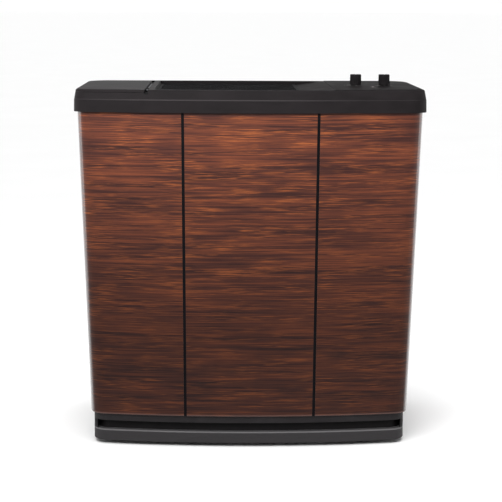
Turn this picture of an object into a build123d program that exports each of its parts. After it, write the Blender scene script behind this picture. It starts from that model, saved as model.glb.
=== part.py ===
from build123d import *

import os
from math import cos, radians, sin, sqrt

# Console evaporative humidifier on casters, in millimetres.
# X runs to the right, Y to the back and Z up.
# The origin is on the floor, under the middle of the top cover.
# The cabinet is the base. The top deck, with the fan and the controls, lifts off it.

# ---- Driving dimensions ----

# Plan outline: every level has the same bowed front and rounded corners.
bow_share = 29 / 300  # depth of the front bow over half the width
front_corner_radius = 28
rear_corner_radius = 40

# Plinth
plinth_half_width = 271
plinth_front = -162
plinth_back = 168
plinth_plan = (plinth_half_width, plinth_front, plinth_back)
plinth_bottom = 6
plinth_top = 54.5
plinth_wall = 3.5
plinth_plate = 4
groove_bottom = 26.3
groove_top = 42
groove_depth = 10
groove_half_length = 264
groove_end_wall = 5
groove_lip_radius = 2.5
plinth_foot_radius = 2.5

# Cabinet, tapered from the top down to the plinth
cabinet_top = 582
cabinet_top_half_width = 294.5
cabinet_top_front = -173
cabinet_top_back = 176
cabinet_bottom_half_width = 275.5
cabinet_bottom_front = -168
cabinet_bottom_back = 170
panel_thickness = 3
tub_wall = 3
tub_floor_bottom = 70
tub_floor_top = 73
wrap_end = 128  # where the side panels stop, ahead of the rear corners
seam_bottom_x = 110.6
seam_top_x = 114.8
seam_half_width = 2.5
seam_recess = 1

# Top cover
cover_bottom = 578
cover_top = 616
cover_wall = 3
cover_hollow_top = 606
door_seat = 611
slit_left = -179.3
slit_right = -173.3
slit_floor = 610.4
slit_back = 160  # the cover closes the slit behind here
door_jog = -183.5  # the door's right edge behind the slit
door_gap = 0.5
outlet_left = -163
outlet_right = 88
outlet_ramp_end = 138
outlet_ledge = 609
outlet_rim = 9
panel_left = 142
panel_pocket_top = 612.5

# Fan, motor and wick
fan_x = -37
shroud_radius = 110
shroud_wall = 3
shroud_bottom = 516
fan_radius = 104
hub_radius = 28
hub_bottom = 524
hub_top = 556
fan_shaft_radius = 4
motor_radius = 42
motor_bottom = 458
motor_cap_bottom = 508
bracket_bottom = 512
wick_half_x = 135
wick_half_y = 100
wick_thickness = 24
wick_top = 470

# Running clearance on a radius, for shafts in their bores
running = 0.06

# A coordinate beyond the outside on every side, and one above the top, for cutting blocks
beyond = 400
above = 700

# Controls
speed_x = 188.5
humidity_x = 239
control_shaft_radius = 3
knob_top = 636.2
knob_radius = 9.7

# Float
float_place = (228, 40)
sensor_place = (209, 40)
float_bottom = 76
float_height = 30
float_radius = 25
rod_radius = 3

# Casters
caster_places = {
    "front_left": (-222, -90),
    "front_right": (222, -90),
    "rear_left": (-222, 118),
    "rear_right": (222, 118),
}
wheel_radius = 17
wheel_width = 16
caster_trail = 12
stem_radius = 4
boss_radius = 9


# ---- Helpers: outlines, and shapes made in the current part ----


def plan_outline(height, half_width, front, back, inset=0.0):
    """Sketch of the bowed-front outline at a height, moved in by inset all round."""
    rise = bow_share * half_width
    bow_radius = (half_width**2 + rise**2) / (2 * rise)
    half = half_width - inset
    side_y = front + bow_radius - sqrt((bow_radius - inset) ** 2 - half**2)
    with BuildSketch(Plane.XY.offset(height)) as outline:
        with BuildLine():
            ThreePointArc((-half, side_y), (0, front + inset), (half, side_y))
            Polyline((half, side_y), (half, back - inset), (-half, back - inset), (-half, side_y))
        make_face()
        fillet(vertices().sort_by(Axis.Y)[:2], front_corner_radius - inset)
        fillet(vertices().sort_by(Axis.Y)[-2:], rear_corner_radius - inset)
    return outline.sketch


def cabinet_outline(height, inset=0.0):
    """Sketch of the tapered cabinet's outline at a height."""
    share = (height - plinth_top) / (cabinet_top - plinth_top)
    return plan_outline(
        height,
        cabinet_bottom_half_width + share * (cabinet_top_half_width - cabinet_bottom_half_width),
        cabinet_bottom_front + share * (cabinet_top_front - cabinet_bottom_front),
        cabinet_bottom_back + share * (cabinet_top_back - cabinet_bottom_back),
        inset,
    )


def cabinet_loft(levels, mode=Mode.ADD):
    """Tapered cabinet block in the current part, through (height, inset) levels."""
    loft([cabinet_outline(height, inset) for height, inset in levels], ruled=True, mode=mode)


def cover_loft(levels, inset=0.0, mode=Mode.ADD):
    """Top cover block in the current part, through (height, half width, front, back) levels."""
    loft([plan_outline(*level, inset) for level in levels], ruled=True, mode=mode)


def block(x_span, y_span, z_span, mode=Mode.ADD):
    """Rectangular block in the current part, between pairs of X, Y and Z values."""
    with BuildSketch(Plane.XY.offset(z_span[0])) as base:
        with Locations(((x_span[0] + x_span[1]) / 2, (y_span[0] + y_span[1]) / 2)):
            Rectangle(x_span[1] - x_span[0], y_span[1] - y_span[0])
    extrude(base.sketch, amount=z_span[1] - z_span[0], mode=mode)


def rounded_block(x_span, y_span, z_span, radius, mode=Mode.ADD):
    """Block in the current part with rounded upright corners."""
    with BuildSketch(Plane.XY.offset(z_span[0])) as base:
        with Locations(((x_span[0] + x_span[1]) / 2, (y_span[0] + y_span[1]) / 2)):
            RectangleRounded(x_span[1] - x_span[0], y_span[1] - y_span[0], radius)
    extrude(base.sketch, amount=z_span[1] - z_span[0], mode=mode)


def posts(places, radius, low, high, mode=Mode.ADD):
    """Upright cylinders in the current part, one at each (x, y) place."""
    with BuildSketch(Plane.XY.offset(low)) as discs:
        with Locations(*places):
            Circle(radius)
    extrude(discs.sketch, amount=high - low, mode=mode)


def keep_front_between(left_bottom, left_top, right_bottom, right_top, back):
    """Keep the stretch of the current part between two leaning lines, ahead of a Y value."""
    with BuildSketch(Plane.XZ.offset(-back)) as stretch:
        Polygon(
            (left_bottom, plinth_top),
            (right_bottom, plinth_top),
            (right_top, cabinet_top),
            (left_top, cabinet_top),
            align=None,
        )
    extrude(stretch.sketch, amount=beyond, mode=Mode.INTERSECT)


def cabinet_skin():
    """Thin shell all round the cabinet, with its bottom edge rounded."""
    cabinet_loft(
        [(plinth_top, 2.2), (plinth_top + 0.6, 0.9), (plinth_top + 2.2, 0.0), (cabinet_top, 0.0)]
    )
    cabinet_loft([(plinth_top, panel_thickness), (cabinet_top, panel_thickness)], Mode.SUBTRACT)


pieces = {}

# ---- Plinth ----

core_plan = (plinth_half_width - groove_end_wall, plinth_front + groove_depth, plinth_back)
ledge_height = groove_bottom - plinth_wall
plate_bottom = plinth_top - plinth_plate
groove_cut_back = -80
core_inset = 0.5
boss_top = 66
boss_bottom = 40
base_screw_places = [(-200, 20), (200, 20), (-90, -105), (90, -105), (-90, 130), (90, 130)]

with BuildPart() as plinth_base:
    extrude(plan_outline(plinth_bottom, *plinth_plan), amount=plinth_top - plinth_bottom)
    fillet(faces().sort_by(Axis.Z)[0].outer_wire().edges(), plinth_foot_radius)
    # Toe groove along the front, closed at both ends
    block(
        (-groove_half_length, groove_half_length),
        (-beyond, groove_cut_back),
        (groove_bottom, groove_top),
        Mode.SUBTRACT,
    )
    extrude(plan_outline(groove_bottom, *core_plan, core_inset), amount=groove_top - groove_bottom)
    # Round the lip's front edge and its two end edges; the second edge lies at the groove's back
    lip_edges = edges().filter_by_position(Axis.Z, groove_bottom - 0.1, groove_bottom + 0.1)
    lip_edges = lip_edges.sort_by(Axis.Y)
    fillet([lip_edges[0], lip_edges[2], lip_edges[3]], groove_lip_radius)
    # Hollow underneath, stepping back behind the groove
    extrude(
        plan_outline(plinth_bottom, *plinth_plan, plinth_wall),
        amount=ledge_height - plinth_bottom,
        mode=Mode.SUBTRACT,
    )
    extrude(
        plan_outline(ledge_height, *core_plan, plinth_wall),
        amount=plate_bottom - ledge_height,
        mode=Mode.SUBTRACT,
    )
    # Bosses in which the caster stems turn
    posts(caster_places.values(), boss_radius, boss_bottom, boss_top)
    posts(caster_places.values(), stem_radius + running, boss_bottom, boss_top - 2, Mode.SUBTRACT)
    posts(base_screw_places, 2.3, plate_bottom, plinth_top, Mode.SUBTRACT)
pieces["plinth_base"] = plinth_base

with BuildPart() as base_screws:
    posts(base_screw_places, 4, plate_bottom - 2.6, plate_bottom)
    posts(base_screw_places, 2, plate_bottom, tub_floor_bottom - 3)
    chamfer(faces().group_by(Axis.Z)[0].edges(), 0.8)
pieces["base_screws"] = base_screws

# ---- Reservoir tub: the inner cabinet, which holds the water ----

tub_inset = panel_thickness + tub_wall
intake_half_width = 155
intake_bottom = 330
intake_top = 540
intake_middle = (intake_bottom + intake_top) / 2
grille_screw_grid = (320, 220, 2, 2)


def cut_air_intake():
    """Cut the air intake and its four screw holes through the back wall of the current part."""
    with BuildSketch(Plane.XZ.offset(-140)) as intake:
        with Locations((0, intake_middle)):
            Rectangle(2 * intake_half_width, intake_top - intake_bottom)
            with GridLocations(*grille_screw_grid):
                RegularPolygon(2.6, 8)
    extrude(intake.sketch, amount=-60, mode=Mode.SUBTRACT)


with BuildPart() as reservoir_tub:
    cabinet_loft([(plinth_top, panel_thickness), (cabinet_top, panel_thickness)])
    cabinet_loft([(plinth_top, tub_inset), (tub_floor_bottom, tub_inset)], Mode.SUBTRACT)
    cabinet_loft([(tub_floor_top, tub_inset), (cabinet_top, tub_inset)], Mode.SUBTRACT)
    posts(base_screw_places, 6, plinth_top, tub_floor_bottom)
    posts(base_screw_places, 2, plinth_top, tub_floor_bottom - 3, Mode.SUBTRACT)
    # Ribs on the floor that locate the wick base
    for side in (-1, 1):
        rib_x = fan_x + side * (wick_half_x + 8)
        block((rib_x - 1.5, rib_x + 1.5), (-60, 60), (tub_floor_top, tub_floor_top + 10))
    cut_air_intake()
pieces["reservoir_tub"] = reservoir_tub

# ---- Wood-finish panels, seam strips and back panel ----

with BuildPart() as left_wrap_panel:
    cabinet_skin()
    keep_front_between(
        -beyond, -beyond, -seam_bottom_x - seam_half_width, -seam_top_x - seam_half_width, wrap_end
    )
pieces["left_wrap_panel"] = left_wrap_panel

with BuildPart() as centre_front_panel:
    cabinet_skin()
    keep_front_between(
        -seam_bottom_x + seam_half_width,
        -seam_top_x + seam_half_width,
        seam_bottom_x - seam_half_width,
        seam_top_x - seam_half_width,
        0,
    )
pieces["centre_front_panel"] = centre_front_panel

with BuildPart() as right_wrap_panel:
    cabinet_skin()
    keep_front_between(
        seam_bottom_x + seam_half_width, seam_top_x + seam_half_width, beyond, beyond, wrap_end
    )
pieces["right_wrap_panel"] = right_wrap_panel

with BuildPart() as seam_strips:
    cabinet_loft([(plinth_top, 2.0), (plinth_top + 2, seam_recess), (cabinet_top, seam_recess)])
    cabinet_loft([(plinth_top, panel_thickness), (cabinet_top, panel_thickness)], Mode.SUBTRACT)
    with BuildSketch(Plane.XZ):
        for side in (-1, 1):
            Polygon(
                (side * seam_bottom_x - seam_half_width, plinth_top),
                (side * seam_bottom_x + seam_half_width, plinth_top),
                (side * seam_top_x + seam_half_width, cabinet_top),
                (side * seam_top_x - seam_half_width, cabinet_top),
                align=None,
            )
    extrude(amount=beyond, mode=Mode.INTERSECT)
pieces["seam_strips"] = seam_strips

with BuildPart() as back_panel:
    cabinet_skin()
    block((-beyond, beyond), (-beyond, wrap_end), (0, above), Mode.SUBTRACT)
    cut_air_intake()
pieces["back_panel"] = back_panel

# ---- Rear air intake: louvred grille, filter and its tray ----

grille_half_width = 167
grille_half_height = 117
plug_half_width = intake_half_width - 0.6
plug_half_height = (intake_top - intake_bottom) / 2 - 0.6
flange_front = 175.9
flange_back = 178.6
slat_pitch = 14
slat_count = 14
tray_front = 148
tray_back = 166.5

with BuildPart() as intake_grille:
    with BuildSketch(Plane.XZ.offset(-flange_back)):
        with Locations((0, intake_middle)):
            RectangleRounded(2 * grille_half_width, 2 * grille_half_height, 8)
    extrude(amount=flange_back - flange_front)
    with BuildSketch(Plane.XZ.offset(-flange_front)):
        with Locations((0, intake_middle)):
            Rectangle(2 * plug_half_width, 2 * plug_half_height)
    extrude(amount=flange_front - tray_back)
    with BuildSketch(Plane.XZ.offset(-flange_back)):
        with Locations((0, intake_middle)):
            Rectangle(2 * plug_half_width - 8, 2 * plug_half_height - 8)
            with GridLocations(*grille_screw_grid):
                Circle(2.2)
    extrude(amount=flange_back - tray_back, mode=Mode.SUBTRACT)
    # Louvres lean down towards the back, so that splashes run outwards
    for row in range(slat_count):
        middle = intake_middle + slat_pitch * (row - (slat_count - 1) / 2)
        with BuildSketch(Plane.YZ.offset(-plug_half_width + 3)):
            Polygon(
                (tray_back, middle + 4.5),
                (tray_back, middle + 7),
                (flange_back - 0.6, middle - 3.5),
                (flange_back - 0.6, middle - 6),
                align=None,
            )
        extrude(amount=2 * plug_half_width - 6)
    # Upright stays that stiffen the louvres
    for stay_x in (-75, 0, 75):
        block(
            (stay_x - 1.5, stay_x + 1.5),
            (tray_back, flange_front),
            (intake_bottom + 3, intake_top - 3),
        )
pieces["intake_grille"] = intake_grille

with BuildPart() as filter_tray:
    with BuildSketch(Plane.XZ.offset(-tray_back)):
        with Locations((0, intake_middle)):
            Rectangle(2 * grille_half_width, 2 * grille_half_height)
    extrude(amount=tray_back - tray_front)
    with BuildSketch(Plane.XZ.offset(-tray_back)):
        with Locations((0, intake_middle)):
            Rectangle(2 * plug_half_width - 2, 2 * plug_half_height - 2)
    extrude(amount=tray_back - tray_front - 3, mode=Mode.SUBTRACT)
    with BuildSketch(Plane.XZ.offset(-tray_back)):
        with Locations((0, intake_middle)):
            Rectangle(2 * plug_half_width - 22, 2 * plug_half_height - 22)
            with GridLocations(*grille_screw_grid):
                Circle(1.7)
    extrude(amount=tray_back - tray_front, mode=Mode.SUBTRACT)
pieces["filter_tray"] = filter_tray

with BuildPart() as air_filter:
    with BuildSketch(Plane.XZ.offset(-tray_back + 3)):
        with Locations((0, intake_middle)):
            Rectangle(2 * plug_half_width - 4, 2 * plug_half_height - 4)
    extrude(amount=tray_back - tray_front - 6)
pieces["air_filter"] = air_filter

with BuildPart() as grille_screws:
    with BuildSketch(Plane.XZ.offset(-flange_back)):
        with Locations((0, intake_middle)):
            with GridLocations(*grille_screw_grid):
                Circle(1.7)
    extrude(amount=flange_back - tray_front - 4)
    with BuildSketch(Plane.XZ.offset(-flange_back)):
        with Locations((0, intake_middle)):
            with GridLocations(*grille_screw_grid):
                Circle(3.4)
    extrude(amount=-1.3)
pieces["grille_screws"] = grille_screws

# ---- Wick: base tray with its upright posts, pad and cap ----

tray_wall = 3
wick_floor = tub_floor_top + 5
wick_inner_x = wick_half_x - wick_thickness
wick_inner_y = wick_half_y - wick_thickness
opening_half_x = 92
opening_half_y = 60
tie_places = [(fan_x + side_x * 100, side_y * 68) for side_x in (-1, 1) for side_y in (-1, 1)]


def wick_ring(half_x, half_y, inner_x, inner_y, low, high, mode=Mode.ADD):
    """Rectangular ring round the fan's axis, in the current part."""
    with BuildSketch(Plane.XY.offset(low)) as ring:
        with Locations((fan_x, 0)):
            RectangleRounded(2 * half_x, 2 * half_y, 12)
            RectangleRounded(2 * inner_x, 2 * inner_y, 6, mode=Mode.SUBTRACT)
    extrude(ring.sketch, amount=high - low, mode=mode)


def wick_channel(plate_low, plate_high, wall_low, wall_high):
    """Plate with two low walls that hold one end of the wick pad."""
    outer_x = wick_half_x + tray_wall
    outer_y = wick_half_y + tray_wall
    wick_ring(outer_x, outer_y, opening_half_x, opening_half_y, plate_low, plate_high)
    wick_ring(outer_x, outer_y, wick_half_x, wick_half_y, wall_low, wall_high)
    wick_ring(
        wick_inner_x, wick_inner_y, wick_inner_x - 2, wick_inner_y - 2, wall_low, wall_high
    )


with BuildPart() as wick_base:
    wick_channel(tub_floor_top, wick_floor, wick_floor, wick_floor + 20)
    posts(tie_places, 4, wick_floor, wick_top)
pieces["wick_base"] = wick_base

with BuildPart() as wick_pad:
    with BuildSketch(Plane.XY.offset(wick_floor)):
        with Locations((fan_x, 0)):
            RectangleRounded(2 * wick_half_x - 1, 2 * wick_half_y - 1, 11)
            RectangleRounded(2 * wick_inner_x + 1, 2 * wick_inner_y + 1, 12.5, mode=Mode.SUBTRACT)
    extrude(amount=wick_top - wick_floor)
pieces["wick_pad"] = wick_pad

with BuildPart() as wick_cap:
    wick_channel(wick_top, wick_top + 4, wick_top - 14, wick_top)
pieces["wick_cap"] = wick_cap

# ---- Float, its rod and magnet, and the guide on the tub's wall ----

rod_top = 346

with BuildPart() as float_block:
    posts([float_place], float_radius, float_bottom, float_bottom + float_height)
    fillet(edges().group_by(Axis.Z)[0], 4)
    fillet(edges().group_by(Axis.Z)[-1], 4)
    posts([float_place], rod_radius, float_bottom, float_bottom + float_height, Mode.SUBTRACT)
pieces["float_block"] = float_block

with BuildPart() as float_rod:
    posts([float_place], rod_radius, float_bottom, rod_top)
pieces["float_rod"] = float_rod

with BuildPart() as float_magnet:
    posts([float_place], 5, rod_top, rod_top + 9)
    chamfer(edges().group_by(Axis.Z)[-1], 1)
pieces["float_magnet"] = float_magnet

with BuildPart() as float_guide:
    for arm_height in (235, 305):
        block(
            (float_place[0] - 9, 300),
            (float_place[1] - 9, float_place[1] + 9),
            (arm_height, arm_height + 4),
        )
    block((270, 300), (float_place[1] - 16, float_place[1] + 16), (225, 320))
    posts([float_place], rod_radius + running, 220, 330, Mode.SUBTRACT)
    # The back of the guide lies on the tapered wall of the tub
    cabinet_loft([(200, tub_inset), (340, tub_inset)], Mode.INTERSECT)
pieces["float_guide"] = float_guide

# ---- Fan deck: the plate across the top of the tub, with the fan shroud ----

deck_bottom = cabinet_top
deck_top = cabinet_top + 4
chute_x = (-264, -194)
chute_y = (-72, 72)
chute_wall = 2
lead_place = (95, 0)
cover_screw_places = [
    (-274, -90),
    (-274, 115),
    (274, -90),
    (274, 115),
    (-110, -148),
    (-110, 150),
    (112, -146),
    (112, 150),
]
bracket_angles = (90, 210, 330)


def round_fan(radius, turn=0):
    """Three (x, y) places at a radius from the fan's axis, one at each bracket angle plus a turn."""
    angles = [radians(angle + turn) for angle in bracket_angles]
    return [(fan_x + radius * cos(angle), radius * sin(angle)) for angle in angles]


bracket_screw_places = round_fan(118.5)
motor_screw_places = round_fan(28, turn=60)

with BuildPart() as fan_deck:
    extrude(cabinet_outline(cabinet_top, 1), amount=deck_top - deck_bottom)
    # Locating lip inside the tub
    extrude(cabinet_outline(cabinet_top, tub_inset + 1.5), amount=-10)
    extrude(cabinet_outline(cabinet_top, tub_inset + 4.5), amount=-10, mode=Mode.SUBTRACT)
    # Shroud round the fan, with a flange at its foot
    posts([(fan_x, 0)], shroud_radius + shroud_wall, shroud_bottom, deck_bottom)
    posts([(fan_x, 0)], shroud_radius + 14, shroud_bottom, shroud_bottom + 4)
    posts([(fan_x, 0)], shroud_radius, shroud_bottom, deck_top, Mode.SUBTRACT)
    posts(bracket_screw_places, 1.7, shroud_bottom, shroud_bottom + 4, Mode.SUBTRACT)
    # Fill opening, screw holes, lead hole and sensor hole
    block(
        (chute_x[0] + chute_wall, chute_x[1] - chute_wall),
        (chute_y[0] + chute_wall, chute_y[1] - chute_wall),
        (deck_bottom, deck_top),
        Mode.SUBTRACT,
    )
    posts(cover_screw_places, 2, deck_bottom, deck_top, Mode.SUBTRACT)
    posts([lead_place], 4, deck_bottom, deck_top, Mode.SUBTRACT)
    posts([sensor_place], 6, deck_bottom, deck_top, Mode.SUBTRACT)
pieces["fan_deck"] = fan_deck

with BuildPart() as fill_chute:
    block((chute_x[0] - 5, chute_x[1] + 5), (chute_y[0] - 5, chute_y[1] + 5), (deck_top, deck_top + 2))
    block(chute_x, chute_y, (deck_top, cover_hollow_top - 0.5))
    block(
        (chute_x[0] + chute_wall, chute_x[1] - chute_wall),
        (chute_y[0] + chute_wall, chute_y[1] - chute_wall),
        (deck_top, cover_hollow_top),
        Mode.SUBTRACT,
    )
pieces["fill_chute"] = fill_chute

# ---- Fan motor: can, stator, cap, bearing, bracket; rotor, shaft and fan turn ----

with BuildPart() as motor_can:
    posts([(fan_x, 0)], motor_radius, motor_bottom, motor_cap_bottom)
    fillet(edges().group_by(Axis.Z)[0], 4)
    posts([(fan_x, 0)], motor_radius - 2, motor_bottom + 3, motor_cap_bottom, Mode.SUBTRACT)
    # Cooling slots round the side
    with BuildSketch(Plane.XY.offset(motor_bottom + 14)):
        with Locations((fan_x, 0)):
            with PolarLocations(motor_radius, 12):
                Rectangle(12, 5)
    extrude(amount=24, mode=Mode.SUBTRACT)
pieces["motor_can"] = motor_can

with BuildPart() as motor_stator:
    posts([(fan_x, 0)], motor_radius - 2.5, motor_bottom + 8, motor_cap_bottom - 6)
    posts([(fan_x, 0)], 26, motor_bottom + 8, motor_cap_bottom - 6, Mode.SUBTRACT)
pieces["motor_stator"] = motor_stator

with BuildPart() as motor_cap:
    posts([(fan_x, 0)], motor_radius, motor_cap_bottom, bracket_bottom)
    posts([(fan_x, 0)], 7, motor_cap_bottom, bracket_bottom, Mode.SUBTRACT)
    posts(motor_screw_places, 1.7, motor_cap_bottom, bracket_bottom, Mode.SUBTRACT)
pieces["motor_cap"] = motor_cap

bearing_bottom = motor_cap_bottom - 3
bearing_top = shroud_bottom + 1
with BuildPart() as motor_bearing:
    posts([(fan_x, 0)], 7, bearing_bottom, bearing_top)
    posts([(fan_x, 0)], fan_shaft_radius + running, bearing_bottom, bearing_top, Mode.SUBTRACT)
pieces["motor_bearing"] = motor_bearing

with BuildPart() as motor_bracket:
    posts([(fan_x, 0)], 37, bracket_bottom, shroud_bottom)
    for angle in bracket_angles:
        outward = (cos(radians(angle)), sin(radians(angle)), 0)
        with BuildSketch(Plane((fan_x, 0, bracket_bottom), x_dir=outward)):
            with Locations((76, 0)):
                RectangleRounded(94, 15, 5)
        extrude(amount=shroud_bottom - bracket_bottom)
    posts([(fan_x, 0)], 12, bracket_bottom, shroud_bottom, Mode.SUBTRACT)
    posts(motor_screw_places, 1.7, bracket_bottom, shroud_bottom, Mode.SUBTRACT)
    posts(bracket_screw_places, 1.7, bracket_bottom, shroud_bottom, Mode.SUBTRACT)
pieces["motor_bracket"] = motor_bracket

with BuildPart() as bracket_screws:
    posts(bracket_screw_places, 3.5, bracket_bottom - 2.4, bracket_bottom)
    posts(bracket_screw_places, 1.7, bracket_bottom, shroud_bottom + 4)
    posts(motor_screw_places, 3.5, shroud_bottom, shroud_bottom + 2.4)
    posts(motor_screw_places, 1.7, motor_cap_bottom, shroud_bottom)
pieces["bracket_screws"] = bracket_screws

rotor_bottom = motor_bottom + 18
rotor_top = motor_cap_bottom - 10
with BuildPart() as fan_shaft:
    posts([(fan_x, 0)], fan_shaft_radius, rotor_bottom, hub_top + 3)
    chamfer(edges().group_by(Axis.Z)[-1], 0.8)
pieces["fan_shaft"] = fan_shaft

with BuildPart() as motor_rotor:
    posts([(fan_x, 0)], 24.5, rotor_bottom, rotor_top)
    posts([(fan_x, 0)], fan_shaft_radius, rotor_bottom, rotor_top, Mode.SUBTRACT)
pieces["motor_rotor"] = motor_rotor

blade_count = 5
blade_height = (hub_bottom + hub_top) / 2
with BuildPart() as fan_blades:
    posts([(fan_x, 0)], hub_radius, hub_bottom, hub_top)
    fillet(edges().group_by(Axis.Z)[-1], 5)
    for blade in range(blade_count):
        turn = radians(360 / blade_count * blade)
        outward = Vector(cos(turn), sin(turn), 0)
        across = Vector(-sin(turn), cos(turn), 0)
        for radius, chord, pitch in ((hub_radius - 3, 44, 34), (fan_radius, 58, 24)):
            centre = Vector(fan_x, 0, blade_height) + outward * radius
            with BuildSketch(Plane(centre, x_dir=across, z_dir=outward)):
                RectangleRounded(chord, 2.6, 1.2, rotation=pitch)
        loft()
    posts([(fan_x, 0)], fan_shaft_radius, hub_bottom, hub_top, Mode.SUBTRACT)
pieces["fan_blades"] = fan_blades

# ---- Top cover ----

cover_base = (300, -180, 180)
cover_step = (299.7, -179.4, 179.9)
cover_shoulder = (295.6, -171.8, 176.0)
cover_rim = (294.0, -170.6, 175.0)
cover_levels = [
    (cover_bottom, *cover_base),
    (598.4, *cover_step),
    (600.0, 299.4, -177.8, 179.6),
    (614.0, 297.2, -172.8, 176.8),
    (615.5, *cover_shoulder),
    (cover_top, *cover_rim),
]
hollow_levels = [
    (cover_bottom, *cover_base),
    (598.4, *cover_step),
    (cover_hollow_top, 298.2, -175.2, 178.2),
]
hinge_x = (slit_left + slit_right) / 2
hinge_z = 613.2
pin_radius = 1.2
knuckle_radius = 2.4
knuckle_length = 14
hinge_stations = (-95, 105)
post_hole_top = 600
gland_place = (215, 594.7)  # X and Z of the cord gland's axis
gland_radius = 6
lens_place = (213.5, -62)
fill_mouth_x = (-270, -190)
fill_mouth_y = (-80, 80)


def knuckle(middle, length, radius, mode=Mode.ADD):
    """Cylinder along the door hinge's axis, in the current part."""
    with BuildSketch(Plane.XZ.offset(-middle - length / 2)) as section:
        with Locations((hinge_x, hinge_z)):
            Circle(radius)
    extrude(section.sketch, amount=length, mode=mode)


with BuildPart() as top_cover:
    cover_loft(cover_levels)
    cover_loft(hollow_levels, cover_wall, Mode.SUBTRACT)
    # Seat for the fill door, the slit beside it and the finger notch under its free edge
    block((-beyond, slit_right), (-beyond, slit_back), (door_seat, above), Mode.SUBTRACT)
    block((-beyond, door_jog), (slit_back, beyond), (door_seat, above), Mode.SUBTRACT)
    block((slit_left, slit_right), (-beyond, slit_back), (slit_floor, above), Mode.SUBTRACT)
    block((-310, -288), (-24, 24), (cover_hollow_top + 1.2, door_seat), Mode.SUBTRACT)
    rounded_block(fill_mouth_x, fill_mouth_y, (600, 620), 8, Mode.SUBTRACT)
    # Room for the controls under the right end
    rounded_block(
        (panel_left + 6, 264),
        (-120, 140),
        (cover_hollow_top - 1, panel_pocket_top),
        10,
        Mode.SUBTRACT,
    )
    # Posts down to the deck
    posts(cover_screw_places, 5, deck_top, cover_hollow_top + 1)
    posts(cover_screw_places, 1.7, deck_top, post_hole_top, Mode.SUBTRACT)
    # Holes for the controls, the lamp lens and the cord gland
    posts([(speed_x, 0), (humidity_x, 0)], 5, panel_pocket_top, cover_top, Mode.SUBTRACT)
    posts([lens_place], 4, panel_pocket_top, cover_top, Mode.SUBTRACT)
    with BuildSketch(Plane.XZ.offset(-190)):
        with Locations(gland_place):
            Circle(gland_radius)
    extrude(amount=25, mode=Mode.SUBTRACT)
    # Hinge knuckles standing in the slit
    for station in hinge_stations:
        for side in (-1, 1):
            middle = station + side * (knuckle_length / 2 + 3.4)
            block(
                (hinge_x - 1.8, hinge_x + 1.8),
                (middle - 3, middle + 3),
                (cover_hollow_top + 2, hinge_z),
            )
            knuckle(middle, 6, knuckle_radius)
            knuckle(middle, 8, pin_radius + running, Mode.SUBTRACT)

with BuildPart() as outlet_recess:
    # Space taken out of the cover: upright at the left, a long ramp at the right
    cover_loft([(cover_bottom, *cover_shoulder), (cover_top + 1, *cover_shoulder)], outlet_rim)
    with BuildSketch(Plane.XZ.offset(-beyond)):
        Polygon(
            (outlet_left, cover_top + 1),
            (outlet_left, outlet_ledge),
            (outlet_right, outlet_ledge),
            (outlet_ramp_end, cover_top),
            (outlet_ramp_end, cover_top + 1),
            align=None,
        )
    extrude(amount=2 * beyond, mode=Mode.INTERSECT)
    block((outlet_left + 7, outlet_right - 7), (-128, 132), (cover_bottom, outlet_ledge))

top_cover.part = top_cover.part - outlet_recess.part
pieces["top_cover"] = top_cover

with BuildPart() as hinge_pin:
    knuckle(5, 240, pin_radius)
pieces["hinge_pin"] = hinge_pin

with BuildPart() as cover_screws:
    posts(cover_screw_places, 4, deck_bottom - 2.6, deck_bottom)
    posts(cover_screw_places, 1.7, deck_bottom, post_hole_top - 2)
pieces["cover_screws"] = cover_screws

fin_bottom = 603
fin_top = 612
with BuildPart() as outlet_grille:
    extrude(plan_outline(outlet_ledge, *cover_shoulder, outlet_rim + 0.4), amount=2)
    block((outlet_left + 0.4, outlet_right - 0.4), (-beyond, beyond), (0, above), Mode.INTERSECT)
    block((outlet_left + 8, outlet_right - 8), (-127, 131), (0, above), Mode.SUBTRACT)
    # Fins run from side to side, over three cross ribs
    for fin_y in range(-118, 131, 12):
        block(
            (outlet_left + 7.6, outlet_right - 7.6), (fin_y - 1.2, fin_y + 1.2), (fin_bottom, fin_top)
        )
    for rib_x in (fan_x - 62, fan_x, fan_x + 62):
        block((rib_x - 1.5, rib_x + 1.5), (-127, 131), (fin_bottom, fin_top - 4))
pieces["outlet_grille"] = outlet_grille

door_bottom = door_seat + door_gap
with BuildPart() as fill_door:
    cover_loft(cover_levels)
    block((-beyond, slit_left), (-beyond, beyond), (door_bottom, above), Mode.INTERSECT)
    chamfer(edges().filter_by(Axis.Y).group_by(Axis.X)[-1].sort_by(Axis.Z)[-1], 1)
    block((door_jog - door_gap, 0), (slit_back - door_gap, beyond), (0, above), Mode.SUBTRACT)
    # Rim that drops into the fill mouth
    rounded_block(
        (fill_mouth_x[0] + 1.5, fill_mouth_x[1] - 1.5),
        (fill_mouth_y[0] + 1.5, fill_mouth_y[1] - 1.5),
        (608, 612),
        6.5,
    )
    rounded_block(
        (fill_mouth_x[0] + 4, fill_mouth_x[1] - 4),
        (fill_mouth_y[0] + 4, fill_mouth_y[1] - 4),
        (608, door_bottom),
        5,
        Mode.SUBTRACT,
    )
    for station in hinge_stations:
        block(
            (slit_left - 2, hinge_x),
            (station - knuckle_length / 2, station + knuckle_length / 2),
            (hinge_z - 1.6, hinge_z + 1.6),
        )
        knuckle(station, knuckle_length, knuckle_radius)
        knuckle(station, knuckle_length + 2, pin_radius + running, Mode.SUBTRACT)
pieces["fill_door"] = fill_door

# ---- Control panel, switches, lamp and knobs ----

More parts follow.
